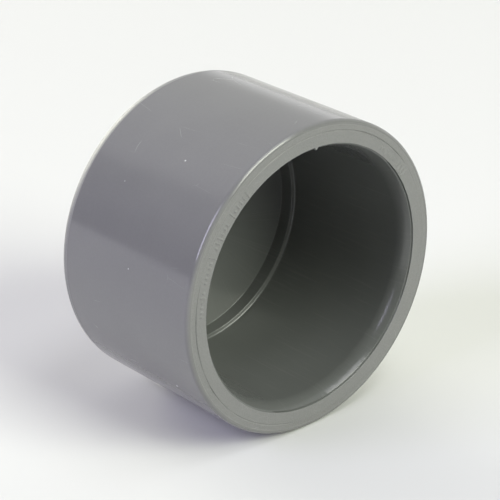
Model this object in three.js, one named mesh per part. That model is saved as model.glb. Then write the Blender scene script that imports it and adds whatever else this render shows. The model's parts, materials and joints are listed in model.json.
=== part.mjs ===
// Solvent-weld pipe cap for 50 mm plastic pressure pipe: one injection moulding, lying on its side.
// Millimetres, +Z up. The cap's axis is Y. The origin is the centre of the closed end's outer face,
// and the open mouth faces -Y.

import * as THREE from 'three';

// Driving dimensions
const pipeDiameter = 50;
const socketDepth = 31.8; // from the rim to the shoulder that stops the pipe
const wallThickness = 5.95; // of the socket, at its root
const floorThickness = 3.2;
const recessDepth = 2.8; // of the floor below the pipe stop
const pipeStopWidth = 0.95; // of the shoulder, measured along the radius

// Sizes that follow from them
const length = socketDepth + recessDepth + floorThickness;
const boreRootRadius = pipeDiameter / 2 + 0.05;
const outerRadius = boreRootRadius + wallThickness;
const recessRadius = boreRootRadius - pipeStopWidth;

// Draft that lets the moulding leave its tool, as a change of radius
const boreDraft = 0.15;
const outerDraft = 0.1;
const recessDraft = 0.1;

// Rounded edges
const rimEdgeRadius = 0.8;
const closedEdgeRadius = 2.8;
const floorFilletRadius = 0.6;
const leadInLength = 3.6; // of the flared entry for the pipe
const leadInRise = 1.2; // the entry's extra radius at the rim

// The number of flats round the cap. A flat lies under the axis, where the cap rests.
const flats = 96;
const flatHalfAngle = Math.PI / flats;
const cornerPerFlat = 1 / Math.cos(flatHalfAngle);

// Places along the axis, from the mouth to the closed end's outer face
const rimY = -length;
const shoulderY = rimY + socketDepth;
const floorY = -floorThickness;

// Points of a round stretch, as [radius, y] pairs. Angles are in degrees, from the radial direction
// towards +Y, and the first and last points are on the arc's ends.
function arc(centreRadius, centreY, arcRadius, fromDegrees, toDegrees, steps) {
  const points = [];
  for (let step = 0; step <= steps; step += 1) {
    const angle = THREE.MathUtils.degToRad(fromDegrees + ((toDegrees - fromDegrees) * step) / steps);
    points.push([centreRadius + arcRadius * Math.cos(angle), centreY + arcRadius * Math.sin(angle)]);
  }
  return points;
}

// The outside: the closed end's face, its rounded edge, the tapered wall and the rim's rounded edge
function outsideProfile() {
  const closedEndRadius = outerRadius - outerDraft;
  return [
    [0, 0],
    ...arc(closedEndRadius - closedEdgeRadius, -closedEdgeRadius, closedEdgeRadius, 90, 0, 6),
    ...arc(outerRadius - rimEdgeRadius, rimY + rimEdgeRadius, rimEdgeRadius, 0, -90, 4),
  ];
}

// The flared entry: an arc that leaves the rim at a slant and runs smoothly into the bore
function leadInProfile(boreMouthRadius) {
  const flareRadius = (leadInLength ** 2 + leadInRise ** 2) / (2 * leadInRise);
  const flareAngle = THREE.MathUtils.radToDeg(Math.asin(leadInLength / flareRadius));
  const flareCentreRadius = boreMouthRadius + flareRadius;
  const flareCentreY = rimY + leadInLength;
  return arc(flareCentreRadius, flareCentreY, flareRadius, 180 + flareAngle, 180, 5);
}

// The inside: the flared entry, the tapered bore, the pipe stop, the recess and the inner floor
function insideProfile() {
  const recessFloorRadius = recessRadius - recessDraft;
  const filletCentreRadius = recessFloorRadius - floorFilletRadius;
  return [
    ...leadInProfile(boreRootRadius + boreDraft),
    [boreRootRadius, shoulderY],
    [recessRadius, shoulderY],
    ...arc(filletCentreRadius, floorY - floorFilletRadius, floorFilletRadius, 0, 90, 3),
    [0, floorY],
  ];
}

// Turns the half section round the axis. Each radius is stretched so that the middle of every flat,
// and not its corners, is at the true radius.
function revolve(profile) {
  const points = profile.map(([radius, y]) => new THREE.Vector2(radius * cornerPerFlat, y));
  return new THREE.LatheGeometry(points.reverse(), flats, flatHalfAngle);
}

function capBody() {
  const geometry = revolve([...outsideProfile(), ...insideProfile()]);
  const greyPlastic = new THREE.MeshStandardMaterial({ color: 0x7b7c7e, roughness: 0.42, metalness: 0 });
  const mesh = new THREE.Mesh(geometry, greyPlastic);
  mesh.name = 'cap_body';
  return mesh;
}

const pipeCap = new THREE.Group();
pipeCap.add(capBody());

export default pipeCap;
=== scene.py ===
"""Looks for a solvent-weld pipe cap: one grey PVC moulding, lying on its side on a pale studio floor.

The cap's axis is Y. Its closed end's outer face is at the origin and its open mouth faces -Y.
Clock angles go round the axis in degrees: 0 is the top and 90 is the +X side.
"""

import json
import math

import bpy
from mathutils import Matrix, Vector, noise


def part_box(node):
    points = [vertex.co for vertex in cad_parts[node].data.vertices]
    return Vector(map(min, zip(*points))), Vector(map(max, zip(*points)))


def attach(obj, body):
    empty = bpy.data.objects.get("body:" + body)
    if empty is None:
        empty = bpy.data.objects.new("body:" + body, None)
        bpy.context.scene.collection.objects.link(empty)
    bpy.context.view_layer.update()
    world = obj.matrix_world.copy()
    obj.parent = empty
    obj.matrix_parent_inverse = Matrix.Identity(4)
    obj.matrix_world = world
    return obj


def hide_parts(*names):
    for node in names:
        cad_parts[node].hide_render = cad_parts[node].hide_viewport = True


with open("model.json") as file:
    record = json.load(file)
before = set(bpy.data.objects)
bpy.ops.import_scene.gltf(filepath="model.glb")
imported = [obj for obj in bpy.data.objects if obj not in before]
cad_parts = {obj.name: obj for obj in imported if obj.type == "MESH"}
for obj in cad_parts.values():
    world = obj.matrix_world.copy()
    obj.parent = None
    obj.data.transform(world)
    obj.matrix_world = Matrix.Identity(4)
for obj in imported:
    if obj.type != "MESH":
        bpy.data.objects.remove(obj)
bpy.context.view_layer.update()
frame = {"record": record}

MM = 0.001

# The cap's main sizes, read from the frame, in millimetres
cap_low, cap_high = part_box("cap_body")
MOUNTS = {mount["name"]: Vector(mount["pos_m"]) / MM for mount in frame["record"]["mounts"]}
OUTER_RADIUS = cap_high.z / MM
RIM_Y = cap_low.y / MM
STOP_Y = MOUNTS["pipe_stop"].y
FLOOR_Z = cap_low.z

# Sizes of the outside that the frame doesn't name, in millimetres
WALL_DRAFT = 0.1
CLOSED_RADIUS = OUTER_RADIUS - WALL_DRAFT
CLOSED_EDGE = 2.8
RIM_EDGE = 0.8

# Sizes of the inside, in millimetres: the mouth, the bore and its last corner, the recess and its floor
MOUTH_RADIUS = 26.56
LIP_RADIUS = 26.34
BORE_MOUTH_RADIUS = 25.2
BORE_ROOT_RADIUS = 25.05
STOP_CORNER = 0.34
STOP_EDGE = 0.17
RECESS_RADIUS = 24.1
RECESS_FLOOR_RADIUS = 24.0
RECESS_FLOOR_Y = -3.2
FLOOR_FILLET = 0.12

# The fine gap inside the rim's edge: (how far in from the mouth's radius, how far behind the rim)
MOUTH_GAP = ((0.03, 0.05), (0.06, 0.15), (0.14, 0.17))

# The flared entry eases into the bore between these depths behind the rim
ENTRY_START = 0.2
ENTRY_END = 3.6
ENTRY_STEPS = 20

# The small relief on the rim and at the mouth, in millimetres
WITNESS_RADIUS = 28.98
WITNESS_DEPTH = 0.16
WITNESS_HALF_WIDTH = 0.14
OUTER_LAND_DROP = 0.06
GAP_DEPTH = 0.6
NIB_REACH = 0.55
NIB_DEPTH = 0.7
WANDER_DEPTH = 1.1

# How far the whole moulding is out of round, as a part of its radius
OUT_OF_ROUND = 0.0006

# The flash nib's place and half width, as clock angles
NIB_CLOCK = 0.6
NIB_HALF_WIDTH = 0.9

# Where the witness line and the gap are cut deep: (first clock angle, last clock angle, strength)
WITNESS_STRETCHES = (
    (-136, -72, 1.0),
    (-174, -132, 0.5),
    (16, 58, 1.0),
    (-40, 20, 0.65),
    (-70, -36, 0.3),
    (54, 112, 0.3),
)
GAP_STRETCHES = ((44, 126, 1.0), (120, 205, 0.6))

# Where the rim's raised marks are: (first clock angle, last clock angle, number of places)
MARK_STRETCHES = ((-88, -36, 27), (37, 58, 11))

# The marks' distances from the axis, height and half widths, and the rings that carry them, in millimetres
MARK_INNER = 26.9
MARK_OUTER = 28.5
MARK_HEIGHT = 0.14
MARK_MARGIN = 0.3
MARK_RINGS = 17
MARK_RING_STEP = 0.12
TICK_HALF_WIDTH = 0.13
DOT_INNER = 27.55
DOT_OUTER = 27.85
DOT_HALF_WIDTH = 0.2

COARSE_SEGMENTS = 480
FINE_SEGMENTS = 3 * COARSE_SEGMENTS
FINE_BORE_RINGS = 10  # the bore's first rings, which carry the relief at the mouth
RING_STEP = 1.2  # the widest gap between rings on a straight stretch
ROUND_MARGIN = 0.15  # how far a straight stretch stops short of a round one

# The order of the mesh's materials
WALL_FINISH = 0
DULL_FINISH = 1
# The socket's slot holds its satin finish and its painted shade
BORE_SATIN_AND_PAINTED_SHADE = 2

# The camera: its bearing and height in degrees, its distance from the point that it looks at, and how
# far the mouth's centre lies to the right of that point and below it, in millimetres
CAMERA_AZIMUTH = -42.05
CAMERA_ELEVATION = 24.98
CAMERA_DISTANCE = 398.8
MOUTH_RIGHT = 11.87
MOUTH_DOWN = 5.55
CAMERA_LENS = 154.1
SENSOR_WIDTH = 36.0


# ---------------------------------------------------------------- outline

def arc(centre_radius, centre_y, radius, start, end, steps):
    """Points of a round stretch. Angles are in degrees, from the radial direction towards +Y."""
    points = []
    for step in range(steps + 1):
        angle = math.radians(start + (end - start) * step / steps)
        points.append((centre_radius + radius * math.cos(angle), centre_y + radius * math.sin(angle)))
    return points


def stretch(start, end, step=RING_STEP):
    """Points of a straight stretch with its ends, close enough together to shade well."""
    count = max(1, round(math.dist(start, end) / step))
    return [
        (start[0] + (end[0] - start[0]) * i / count, start[1] + (end[1] - start[1]) * i / count)
        for i in range(count + 1)
    ]


def closed_end_outline():
    """The gate's stub in its dimple, the flat face and the rounded edge."""
    edge_centre = CLOSED_RADIUS - CLOSED_EDGE
    return [
        (0.35, -0.16),
        (0.75, -0.14),
        (0.92, -0.2),
        (1.0, -0.33),
        (1.15, -0.36),
        (2.5, -0.36),
        (2.75, -0.3),
        (3.05, -0.06),
        (3.2, -0.01),
        *stretch((3.4, 0), (edge_centre - ROUND_MARGIN, 0)),
        *arc(edge_centre, -CLOSED_EDGE, CLOSED_EDGE, 90, 0, 14),
    ]


def wall_outline():
    """The outside wall, which widens a little towards the mouth, and the rim's rounded outer edge."""
    wall_start = (CLOSED_RADIUS, -CLOSED_EDGE - ROUND_MARGIN)
    wall_end = (OUTER_RADIUS, RIM_Y + RIM_EDGE + ROUND_MARGIN)
    rounded = arc(OUTER_RADIUS - RIM_EDGE, RIM_Y + RIM_EDGE, RIM_EDGE, 0, -90, 10)
    return stretch(wall_start, wall_end) + rounded


def rim_outline():
    """The rim's flat face, as far as its sharp inner edge, with rings close enough to carry relief."""
    outer = OUTER_RADIUS - RIM_EDGE - 0.1
    witness = [WITNESS_RADIUS + WITNESS_HALF_WIDTH * part for part in (1.6, 1, 0.5, 0, -0.5, -1, -1.6)]
    marks = [MARK_OUTER + 0.15 - MARK_RING_STEP * i for i in range(MARK_RINGS)]
    edge = [MOUTH_RADIUS + out for out in (0.12, 0.04, 0)]
    return [(radius, RIM_Y) for radius in (outer, outer - 0.4, *witness, *marks, *edge)]


def bore_outline():
    """The fine gap inside the rim's edge, the flared entry, the tapered bore and its last corner."""
    gap = [(MOUTH_RADIUS - inwards, RIM_Y + depth) for inwards, depth in MOUTH_GAP]
    entry = []
    for step in range(ENTRY_STEPS):
        left = 1 - step / ENTRY_STEPS
        radius = BORE_MOUTH_RADIUS + (LIP_RADIUS - BORE_MOUTH_RADIUS) * left * left
        y = RIM_Y + ENTRY_END - (ENTRY_END - ENTRY_START) * left
        entry.append((radius, y))
    bore_start = (BORE_MOUTH_RADIUS, RIM_Y + ENTRY_END)
    bore_end = (BORE_ROOT_RADIUS, STOP_Y - STOP_CORNER)
    corner = arc(BORE_ROOT_RADIUS - STOP_CORNER, STOP_Y - STOP_CORNER, STOP_CORNER, 0, 90, 6)
    return gap + entry + stretch(bore_start, bore_end)[:-1] + corner


def stop_outline():
    """The shoulder that stops the pipe, its rounded inner edge, the recess and the inner floor."""
    edge_centre = RECESS_RADIUS + STOP_EDGE
    fillet_centre = RECESS_FLOOR_RADIUS - FLOOR_FILLET
    recess_start = (RECESS_RADIUS, STOP_Y + STOP_EDGE + 0.1)
    recess_end = (RECESS_FLOOR_RADIUS, RECESS_FLOOR_Y - FLOOR_FILLET - 0.1)
    return [
        (BORE_ROOT_RADIUS - STOP_CORNER - 0.03, STOP_Y),
        (edge_centre + 0.03, STOP_Y),
        *arc(edge_centre, STOP_Y + STOP_EDGE, STOP_EDGE, 270, 180, 8),
        *stretch(recess_start, recess_end, 0.4),
        *arc(fillet_centre, RECESS_FLOOR_Y - FLOOR_FILLET, FLOOR_FILLET, 0, 90, 7),
        *stretch((fillet_centre - ROUND_MARGIN, RECESS_FLOOR_Y), (0.6, RECESS_FLOOR_Y)),
    ]


# ---------------------------------------------------------------- relief

def smooth(low, high, value):
    """0 below low, 1 above high and an even curve between them."""
    part = min(1.0, max(0.0, (value - low) / (high - low)))
    return part * part * (3 - 2 * part)


def from_clock(clock, middle):
    """How far a clock angle lies from another, the short way round, in degrees."""
    return abs((clock - middle + 180) % 360 - 180)


def strength(stretches, clock, fade=7):
    """How strong a line is at a clock angle, from its stretches, each fading at both ends."""
    strongest = 0
    for first, last, amount in stretches:
        half = (last - first) / 2
        away = from_clock(clock, (first + last) / 2)
        strongest = max(strongest, amount * (1 - smooth(half - fade, half, away)))
    return strongest


def ragged(clock, pace, seed):
    """An uneven factor round the rim, about 1."""
    angle = math.radians(clock)
    return 1 + 0.5 * noise.noise(Vector((math.sin(angle) * pace, math.cos(angle) * pace, seed)))


def bump_height(distance, half_width, slope=0.14):
    """1 on top of a raised mark and 0 beside it, with a rounded flank."""
    return 1 - smooth(half_width - slope / 2, half_width + slope / 2, distance)


def make_marks():
    """The raised dots and short and long ticks: (clock angle, inner radius, outer radius, half width)."""
    marks = []
    for first, last, places in MARK_STRETCHES:
        for place in range(places):
            clock = first + (last - first) * (place + 0.5) / places
            kind = noise.cell(Vector((place * 1.7 + first, 0.5, 3.1)))
            if place % 7 == 6:
                continue
            if kind < 0.25:
                marks.append((clock, DOT_INNER, DOT_OUTER, DOT_HALF_WIDTH))
            elif kind < 0.6:
                marks.append((clock, MARK_INNER + 0.35, MARK_OUTER - 0.3, TICK_HALF_WIDTH))
            else:
                marks.append((clock, MARK_INNER, MARK_OUTER, TICK_HALF_WIDTH))
    return marks


MARKS = make_marks()


def mark_relief(radius, clock):
    """How far the raised marks stand out of the rim at a place on it."""
    if not MARK_INNER - MARK_MARGIN < radius < MARK_OUTER + MARK_MARGIN:
        return 0
    height = 0
    for mark_clock, inner, outer, half_width in MARKS:
        across = math.radians(from_clock(clock, mark_clock)) * radius
        if across < half_width + 0.1:
            along = max(0, inner - radius, radius - outer)
            height = max(height, bump_height(math.hypot(across, along), half_width))
    return height * MARK_HEIGHT


def rim_relief(radius, clock):
    """How far the rim's face lies behind its flat plane: the witness line, the outer land, the marks."""
    away = abs(radius - WITNESS_RADIUS) / WITNESS_HALF_WIDTH
    line = strength(WITNESS_STRETCHES, clock) * ragged(clock, 9, 2.5) * max(0, 1 - away * away)
    land = OUTER_LAND_DROP * smooth(WITNESS_RADIUS - 0.1, WITNESS_RADIUS + 0.9, radius)
    return WITNESS_DEPTH * line + land - mark_relief(radius, clock)


def nib_reach(y, clock):
    """How far the flash nib at the top of the mouth pulls the inner edge in at a place."""
    across = from_clock(clock, NIB_CLOCK) / NIB_HALF_WIDTH
    pointed = max(0, 1 - across) ** 0.8
    return NIB_REACH * pointed * (1 - smooth(0.1, NIB_DEPTH, y - RIM_Y))


def edge_wander(y, clock):
    """The small unevenness of the mouth's edge, which fades out down the entry."""
    angle = math.radians(clock)
    around = Vector((math.sin(angle), math.cos(angle), 0))
    wander = 0.035 * noise.noise(around * 14) + 0.025 * noise.noise(around * 55)
    return wander * (1 - smooth(0.3, WANDER_DEPTH, y - RIM_Y))


def moulded(radius, y, clock):
    """Moves one point of the ideal outline to where the real moulding has it."""
    on_rim = y < RIM_Y + 0.001 and radius > MOUTH_RADIUS - 0.001
    at_mouth = y < RIM_Y + 1.2 and radius < MOUTH_RADIUS + 0.05
    in_gap = at_mouth and y > RIM_Y + 0.1 and radius > LIP_RADIUS + 0.05
    if on_rim:
        y += rim_relief(radius, clock)
    if in_gap:
        y += strength(GAP_STRETCHES, clock) * ragged(clock, 12, 7.5) * GAP_DEPTH
    if at_mouth:
        radius -= nib_reach(y, clock) + edge_wander(y, clock)
    angle = math.radians(clock)
    around = Vector((math.sin(angle) * 1.7, y * 0.05, math.cos(angle) * 1.7))
    return radius * (1 + OUT_OF_ROUND * noise.noise(around)), y


# ---------------------------------------------------------------- mesh

def ring_points(radius, y, segments):
    """One ring of the cap's skin, in metres."""
    points = []
    for segment in range(segments):
        clock = 360 * segment / segments
        moved_radius, moved_y = moulded(radius, y, clock)
        angle = math.radians(clock)
        x = moved_radius * math.sin(angle)
        z = moved_radius * math.cos(angle)
        points.append((x * MM, moved_y * MM, z * MM))
    return points


def joining_faces(outer_start, outer_count, inner_start, inner_count):
    """Faces between two rings. Where one is finer, each coarse edge meets its run of fine edges."""
    coarse = min(outer_count, inner_count)
    outer_run = outer_count // coarse
    inner_run = inner_count // coarse
    faces = []
    for segment in range(coarse):
        outer = [outer_start + (segment * outer_run + i) % outer_count for i in range(outer_run + 1)]
        inner = [inner_start + (segment * inner_run + i) % inner_count for i in range(inner_run + 1)]
        faces.append(tuple(outer[:1] + inner + outer[:0:-1]))
    return faces


def turned_mesh(name, sections):
    """Turns an outline round the Y axis. Sections are (points, segments, material index), in order."""
    rings = [(point, segments, slot) for points, segments, slot in sections for point in points]
    vertices = []
    starts = []
    for (radius, y), segments, _ in rings:
        starts.append(len(vertices))
        vertices.extend(ring_points(radius, y, segments))
    faces = []
    slots = []
    for first in range(len(rings) - 1):
        second = first + 1
        band = joining_faces(starts[first], rings[first][1], starts[second], rings[second][1])
        faces.extend(band)
        slots.extend([rings[second][2]] * len(band))
    for ring, backwards in ((0, False), (len(rings) - 1, True)):
        (_, y), segments, slot = rings[ring]
        vertices.append((0, y * MM, 0))
        centre = len(vertices) - 1
        for segment in range(segments):
            pair = (starts[ring] + segment, starts[ring] + (segment + 1) % segments)
            faces.append((centre, *reversed(pair)) if backwards else (centre, *pair))
            slots.append(slot)
    mesh = bpy.data.meshes.new(name)
    mesh.from_pydata(vertices, [], faces)
    mesh.polygons.foreach_set("material_index", slots)
    mesh.polygons.foreach_set("use_smooth", [True] * len(mesh.polygons))
    mesh.update()
    return mesh


# ---------------------------------------------------------------- material nodes

PVC_IOR = 1.54
PVC_GREY = 0.17
# A faint green tint of the socket's grey: painted greenish light, for the key light that falls in through
# the mouth
BORE_PAINTED_LIGHT_TINT = (0.965, 1.0, 0.975)

# Specks of dust on the wall: (clock angle, distance from the rim, radius)
WALL_SPECKS = ((-37, 14.5, 0.22), (-122, 8.7, 0.3), (-79, 17.1, 0.2), (23, 8.2, 0.2), (-52, 25, 0.16))


def feed(tree, socket, value):
    """Gives a socket a constant, or links another node's output to it."""
    if isinstance(value, bpy.types.NodeSocket):
        tree.links.new(value, socket)
    else:
        socket.default_value = value


def maths(tree, operation, first, second=0.0):
    """One sum on numbers, named as Blender names it."""
    node = tree.nodes.new("ShaderNodeMath")
    node.operation = operation
    feed(tree, node.inputs[0], first)
    feed(tree, node.inputs[1], second)
    return node.outputs[0]


def vector_maths(tree, operation, first, second, output="Vector"):
    """One sum on vectors, named as Blender names it."""
    node = tree.nodes.new("ShaderNodeVectorMath")
    node.operation = operation
    feed(tree, node.inputs[0], first)
    feed(tree, node.inputs[1], second)
    return node.outputs[output]


def spread(tree, value, low, high, to_low, to_high, smoothly=False):
    """Maps a range of values to another range, and holds it at the ends."""
    node = tree.nodes.new("ShaderNodeMapRange")
    if smoothly:
        node.interpolation_type = "SMOOTHSTEP"
    feed(tree, node.inputs["Value"], value)
    feed(tree, node.inputs["From Min"], low)
    feed(tree, node.inputs["From Max"], high)
    feed(tree, node.inputs["To Min"], to_low)
    feed(tree, node.inputs["To Max"], to_high)
    return node.outputs["Result"]


def noise_value(tree, place, scale, detail=2.0, roughness=0.5):
    """A soft random pattern, about 0.5."""
    node = tree.nodes.new("ShaderNodeTexNoise")
    feed(tree, node.inputs["Vector"], place)
    feed(tree, node.inputs["Scale"], scale)
    feed(tree, node.inputs["Detail"], detail)
    feed(tree, node.inputs["Roughness"], roughness)
    return node.outputs["Fac"]


def mixed(tree, factor, first, second):
    """A colour between two others."""
    node = tree.nodes.new("ShaderNodeMix")
    node.data_type = "RGBA"
    feed(tree, node.inputs["Factor"], factor)
    feed(tree, node.inputs["A"], first)
    feed(tree, node.inputs["B"], second)
    return node.outputs["Result"]


def bumped(tree, height, distance, normal=None):
    """A bump of a real height in millimetres, where height runs from 0 to 1."""
    node = tree.nodes.new("ShaderNodeBump")
    feed(tree, node.inputs["Height"], height)
    feed(tree, node.inputs["Distance"], distance * MM)
    if normal is not None:
        feed(tree, node.inputs["Normal"], normal)
    return node.outputs["Normal"]


def scaled(tree, vector, factors):
    """A vector with each of its parts multiplied by its own factor."""
    return vector_maths(tree, "MULTIPLY", vector, factors)


def cap_coordinates(tree):
    """The place on the cap in millimetres, and the same place as (way round, distance out, depth)."""
    coordinates = tree.nodes.new("ShaderNodeTexCoord")
    place = scaled(tree, coordinates.outputs["Object"], (1 / MM, 1 / MM, 1 / MM))
    parts = tree.nodes.new("ShaderNodeSeparateXYZ")
    feed(tree, parts.inputs[0], place)
    x, y, z = parts.outputs
    squares = maths(tree, "ADD", maths(tree, "MULTIPLY", x, x), maths(tree, "MULTIPLY", z, z))
    radius = maths(tree, "SQRT", squares)
    around = maths(tree, "MULTIPLY", maths(tree, "ARCTAN2", x, z), OUTER_RADIUS)
    polar = tree.nodes.new("ShaderNodeCombineXYZ")
    for socket, value in zip(polar.inputs, (around, radius, y)):
        feed(tree, socket, value)
    return place, polar.outputs[0]


def spots(tree, place, centres):
    """A mask of small soft spots. Centres are (place in millimetres, radius)."""
    mask = 0.0
    for centre, radius in centres:
        distance = vector_maths(tree, "DISTANCE", place, centre, "Value")
        spot = spread(tree, distance, radius * 0.5, radius, 1.0, 0.0, smoothly=True)
        mask = maths(tree, "MAXIMUM", mask, spot)
    return mask


def hairlines(tree, place, scale, width, factors):
    """A sparse mask of fine scratches: the cell edges of a stretched pattern, kept only in patches."""
    stretched = scaled(tree, place, factors)
    cells = tree.nodes.new("ShaderNodeTexVoronoi")
    cells.feature = "DISTANCE_TO_EDGE"
    feed(tree, cells.inputs["Vector"], stretched)
    feed(tree, cells.inputs["Scale"], scale)
    lines = spread(tree, cells.outputs["Distance"], 0.0, width, 1.0, 0.0)
    patches = spread(tree, noise_value(tree, place, 0.11), 0.55, 0.68, 0.0, 1.0)
    return maths(tree, "MULTIPLY", lines, patches)


def dust(tree, place, scale, size, share):
    """A mask of tiny scattered specks, one at most in each cell of a pattern."""
    cells = tree.nodes.new("ShaderNodeTexVoronoi")
    feed(tree, cells.inputs["Vector"], place)
    feed(tree, cells.inputs["Scale"], scale)
    near = spread(tree, cells.outputs["Distance"], size * 0.5, size, 1.0, 0.0, smoothly=True)
    chosen = maths(tree, "LESS_THAN", cells.outputs["Color"], share)
    return maths(tree, "MULTIPLY", near, chosen)


def new_pvc(name):
    """A new material with its node tree and its shader."""
    material = bpy.data.materials.new(name)
    material.use_nodes = True
    tree = material.node_tree
    shader = tree.nodes["Principled BSDF"]
    shader.inputs["IOR"].default_value = PVC_IOR
    return material, tree, shader


def grey(level, tint=(1.0, 1.0, 1.0)):
    """A grey colour, or a slightly tinted one, with its alpha."""
    return tuple(level * part for part in tint) + (1.0,)


def wall_specks():
    """The wall's specks as (place in millimetres, radius)."""
    specks = []
    for clock, distance, size in WALL_SPECKS:
        angle = math.radians(clock)
        x = OUTER_RADIUS * math.sin(angle)
        z = OUTER_RADIUS * math.cos(angle)
        specks.append(((x, RIM_Y + distance, z), size))
    return specks


def wall_material():
    """The glossy outside: faint clouding, dust, rubbed patches and hairline scratches."""
    material, tree, shader = new_pvc("wall_pvc")
    place, polar = cap_coordinates(tree)
    clouds = noise_value(tree, place, 0.07, 3.0)
    fine = noise_value(tree, place, 2.4, 3.0, 0.6)
    shade = mixed(tree, clouds, grey(PVC_GREY * 0.93), grey(PVC_GREY * 1.07))
    shade = mixed(tree, spread(tree, fine, 0.3, 0.7, 0.0, 0.25), shade, grey(PVC_GREY * 1.2))
    scratches = hairlines(tree, place, 0.16, 0.006, (1.0, 0.35, 1.0))
    specks = maths(tree, "MAXIMUM", spots(tree, place, wall_specks()), dust(tree, place, 0.3, 0.03, 0.12))
    shade = mixed(tree, maths(tree, "MULTIPLY", scratches, 0.12), shade, grey(0.32))
    shade = mixed(tree, maths(tree, "MULTIPLY", specks, 0.6), shade, grey(0.6))
    feed(tree, shader.inputs["Base Color"], shade)
    rubbed = spread(tree, noise_value(tree, polar, 0.13, 4.0, 0.6), 0.4, 0.75, 0.13, 0.24)
    worn = maths(tree, "ADD", rubbed, maths(tree, "MULTIPLY", scratches, 0.2))
    dusty = maths(tree, "ADD", worn, maths(tree, "MULTIPLY", specks, 0.4))
    feed(tree, shader.inputs["Roughness"], dusty)
    peel = bumped(tree, noise_value(tree, place, 0.5, 2.0), 0.012)
    feed(tree, shader.inputs["Normal"], bumped(tree, specks, 0.03, peel))
    return material


def rim_material():
    """The duller rim and closed end: fine grain, faint marks that run round the axis, and scuffs."""
    material, tree, shader = new_pvc("rim_pvc")
    place, polar = cap_coordinates(tree)
    grain = noise_value(tree, place, 3.2, 4.0, 0.65)
    rounds = noise_value(tree, scaled(tree, polar, (0.22, 5.0, 0.0)), 1.0, 3.0, 0.6)
    grainy = spread(tree, grain, 0.3, 0.7, 0.0, 1.0)
    shade = mixed(tree, grainy, grey(PVC_GREY * 0.9), grey(PVC_GREY * 1.25))
    shade = mixed(tree, spread(tree, rounds, 0.35, 0.7, 0.0, 0.35), shade, grey(PVC_GREY * 1.3))
    scuffs = hairlines(tree, place, 0.5, 0.02, (1.0, 1.0, 1.0))
    shade = mixed(tree, maths(tree, "MULTIPLY", scuffs, 0.4), shade, grey(0.34))
    feed(tree, shader.inputs["Base Color"], shade)
    feed(tree, shader.inputs["Roughness"], spread(tree, grain, 0.3, 0.7, 0.42, 0.6))
    rough = bumped(tree, grain, 0.03)
    feed(tree, shader.inputs["Normal"], bumped(tree, rounds, 0.01, rough))
    return material


def bore_material():
    """The satin inside, with painted shade: a darker, slightly green grey paints the shade and greenish
    light in the socket, under faint clouding, marks along the core's draw and a few fine scratches.
    """
    material, tree, shader = new_pvc("bore_pvc_painted_shade")
    place, polar = cap_coordinates(tree)
    clouds = noise_value(tree, place, 0.09, 3.0)
    draw = noise_value(tree, scaled(tree, polar, (1.6, 0.0, 0.06)), 1.0, 3.0, 0.6)
    # Painted shade: the socket's grey is two thirds to three quarters of the wall's, and tinted green as
    # painted light, so the inside looks shaded
    shade = mixed(tree, clouds, grey(PVC_GREY * 0.66, BORE_PAINTED_LIGHT_TINT), grey(PVC_GREY * 0.75, BORE_PAINTED_LIGHT_TINT))
    shade = mixed(tree, spread(tree, draw, 0.55, 0.75, 0.0, 0.3), shade, grey(PVC_GREY))
    scratches = hairlines(tree, place, 0.25, 0.008, (1.0, 0.3, 1.0))
    shade = mixed(tree, maths(tree, "MULTIPLY", scratches, 0.06), shade, grey(0.28))
    feed(tree, shader.inputs["Base Color"], shade)
    satin = spread(tree, draw, 0.3, 0.7, 0.16, 0.24)
    worn = maths(tree, "ADD", satin, maths(tree, "MULTIPLY", scratches, 0.06))
    feed(tree, shader.inputs["Roughness"], worn)
    feed(tree, shader.inputs["Normal"], bumped(tree, draw, 0.004))
    return material


# ---------------------------------------------------------------- cap

def make_cap():
    """One moulding: its whole skin is one closed mesh, with a material for each of its finishes; the
    socket's material also carries painted shade.
    """
    bore = bore_outline()
    mesh = turned_mesh(
        "cap_shell",
        [
            (closed_end_outline(), COARSE_SEGMENTS, DULL_FINISH),
            (wall_outline(), COARSE_SEGMENTS, WALL_FINISH),
            (rim_outline(), FINE_SEGMENTS, DULL_FINISH),
            (bore[:FINE_BORE_RINGS], FINE_SEGMENTS, BORE_SATIN_AND_PAINTED_SHADE),
            (bore[FINE_BORE_RINGS:], COARSE_SEGMENTS, BORE_SATIN_AND_PAINTED_SHADE),
            (stop_outline(), COARSE_SEGMENTS, BORE_SATIN_AND_PAINTED_SHADE),
        ],
    )
    for material in (wall_material(), rim_material(), bore_material()):
        mesh.materials.append(material)
    cap = bpy.data.objects.new("cap_shell", mesh)
    bpy.context.scene.collection.objects.link(cap)
    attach(cap, "root")
    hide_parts("cap_body")


make_cap()


# ---------------------------------------------------------------- studio

FLOOR_COLOUR = (0.61, 0.61, 0.605, 1)

# The floor's half width and the lights' distance, in metres
FLOOR_HALF = 3.0
LIGHT_DISTANCE = 2.4

# How bright each soft light is
KEY = 11.6
FILL = 7.2
OVERHEAD = 4.8
LOW_BACK = 11.0

# How bright the room is: a faint ceiling, a wall, and what the wall gains down at the horizon
CEILING = 0.02
BACK_WALL = 0.58
HORIZON = 0.7

# Where they are: the ceiling's lowest part, and the wall's middle and half width, in degrees
CEILING_EDGE = 40.0
BACK_WALL_AZIMUTH = 140.0
BACK_WALL_HALF_WIDTH = 68.5

# How far up the horizon's gain reaches and how softly the ceiling and the wall end, as sines or cosines
HORIZON_HEIGHT = 0.3
CEILING_SOFTNESS = 0.03
WALL_SOFTNESS = 0.04


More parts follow.
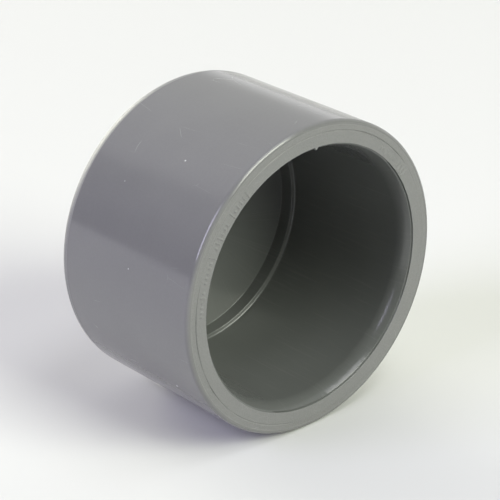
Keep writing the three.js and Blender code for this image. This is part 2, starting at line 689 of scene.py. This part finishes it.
def make_floor():
    """A large sheet of pale matt paper under the cap."""
    half = FLOOR_HALF
    mesh = bpy.data.meshes.new("studio_floor")
    corners = [(-half, -half), (half, -half), (half, half), (-half, half)]
    mesh.from_pydata([(x, y, FLOOR_Z) for x, y in corners], [], [(0, 1, 2, 3)])
    floor = bpy.data.objects.new("studio_floor", mesh)
    bpy.context.scene.collection.objects.link(floor)
    material = bpy.data.materials.new("floor_paper")
    material.use_nodes = True
    shader = material.node_tree.nodes["Principled BSDF"]
    shader.inputs["Base Color"].default_value = FLOOR_COLOUR
    shader.inputs["Roughness"].default_value = 0.9
    mesh.materials.append(material)


def bearing(azimuth, elevation):
    """The direction from the cap to an azimuth, from -Y towards +X, and an elevation in degrees."""
    turn = math.radians(azimuth)
    rise = math.radians(elevation)
    return Vector((math.sin(turn) * math.cos(rise), -math.cos(turn) * math.cos(rise), math.sin(rise)))


def make_camera():
    """The camera looks down at the cap from the left of its mouth."""
    azimuth = math.radians(CAMERA_AZIMUTH)
    right = Vector((math.cos(azimuth), math.sin(azimuth), 0))
    forward = -bearing(CAMERA_AZIMUTH, CAMERA_ELEVATION)
    up = right.cross(forward)
    aim = Vector((0, RIM_Y, 0)) - right * MOUTH_RIGHT + up * MOUTH_DOWN
    data = bpy.data.cameras.new("camera")
    data.lens = CAMERA_LENS
    data.sensor_width = SENSOR_WIDTH
    data.clip_start = 0.01
    camera = bpy.data.objects.new("camera", data)
    bpy.context.scene.collection.objects.link(camera)
    camera.location = (aim - forward * CAMERA_DISTANCE) * MM
    camera.rotation_mode = "QUATERNION"
    camera.rotation_quaternion = forward.to_track_quat("-Z", "Y")
    bpy.context.scene.camera = camera


def softbox(name, azimuth, elevation, width, height, radiance, colour):
    """A soft light aimed at the cap. Its place and its width and height are angles in degrees."""
    towards = bearing(azimuth, elevation)
    data = bpy.data.lights.new(name, "AREA")
    data.shape = "RECTANGLE"
    data.size = 2 * LIGHT_DISTANCE * math.tan(math.radians(width / 2))
    data.size_y = 2 * LIGHT_DISTANCE * math.tan(math.radians(height / 2))
    data.energy = radiance * math.pi * data.size * data.size_y
    data.color = colour
    light = bpy.data.objects.new(name, data)
    bpy.context.scene.collection.objects.link(light)
    light.location = towards * LIGHT_DISTANCE
    light.rotation_mode = "QUATERNION"
    light.rotation_quaternion = (-towards).to_track_quat("-Z", "Y")


def soft_step(tree, value, edge, softness, top):
    """0 below an edge and top above it, with a soft change between them."""
    return spread(tree, value, edge - softness, edge + softness, 0.0, top, smoothly=True)


def make_world():
    """A dark room with a faint ceiling, and a pale wall behind the cap, opposite the camera."""
    world = bpy.data.worlds.new("studio")
    bpy.context.scene.world = world
    world.use_nodes = True
    tree = world.node_tree
    coordinates = tree.nodes.new("ShaderNodeTexCoord")
    direction = coordinates.outputs["Generated"]
    parts = tree.nodes.new("ShaderNodeSeparateXYZ")
    feed(tree, parts.inputs[0], direction)
    rise = parts.outputs["Z"]
    ceiling_edge = math.sin(math.radians(CEILING_EDGE))
    ceiling = soft_step(tree, rise, ceiling_edge, CEILING_SOFTNESS, CEILING)
    level = vector_maths(tree, "NORMALIZE", scaled(tree, direction, (1.0, 1.0, 0.0)), (0, 0, 0))
    facing = vector_maths(tree, "DOT_PRODUCT", level, bearing(BACK_WALL_AZIMUTH, 0), "Value")
    wall_edge = math.cos(math.radians(BACK_WALL_HALF_WIDTH))
    across = soft_step(tree, facing, wall_edge, WALL_SOFTNESS, 1.0)
    height = spread(tree, rise, 0.0, HORIZON_HEIGHT, BACK_WALL + HORIZON, BACK_WALL, smoothly=True)
    wall = maths(tree, "MULTIPLY", height, across)
    feed(tree, tree.nodes["Background"].inputs["Strength"], maths(tree, "MAXIMUM", ceiling, wall))
    tree.nodes["Background"].inputs["Color"].default_value = (1, 1, 1, 1)


make_floor()
make_camera()
softbox("key", 12, 35, 30, 30, KEY, (0.96, 1.0, 0.87))
softbox("fill", 258, 32, 32, 32, FILL, (0.79, 0.76, 1.0))
softbox("low_back", 178, 14, 36, 24, LOW_BACK, (1.0, 1.0, 0.84))
softbox("overhead", 12, 69, 38, 16, OVERHEAD, (0.97, 0.98, 1.0))
make_world()
bpy.context.scene.view_settings.view_transform = "Standard"
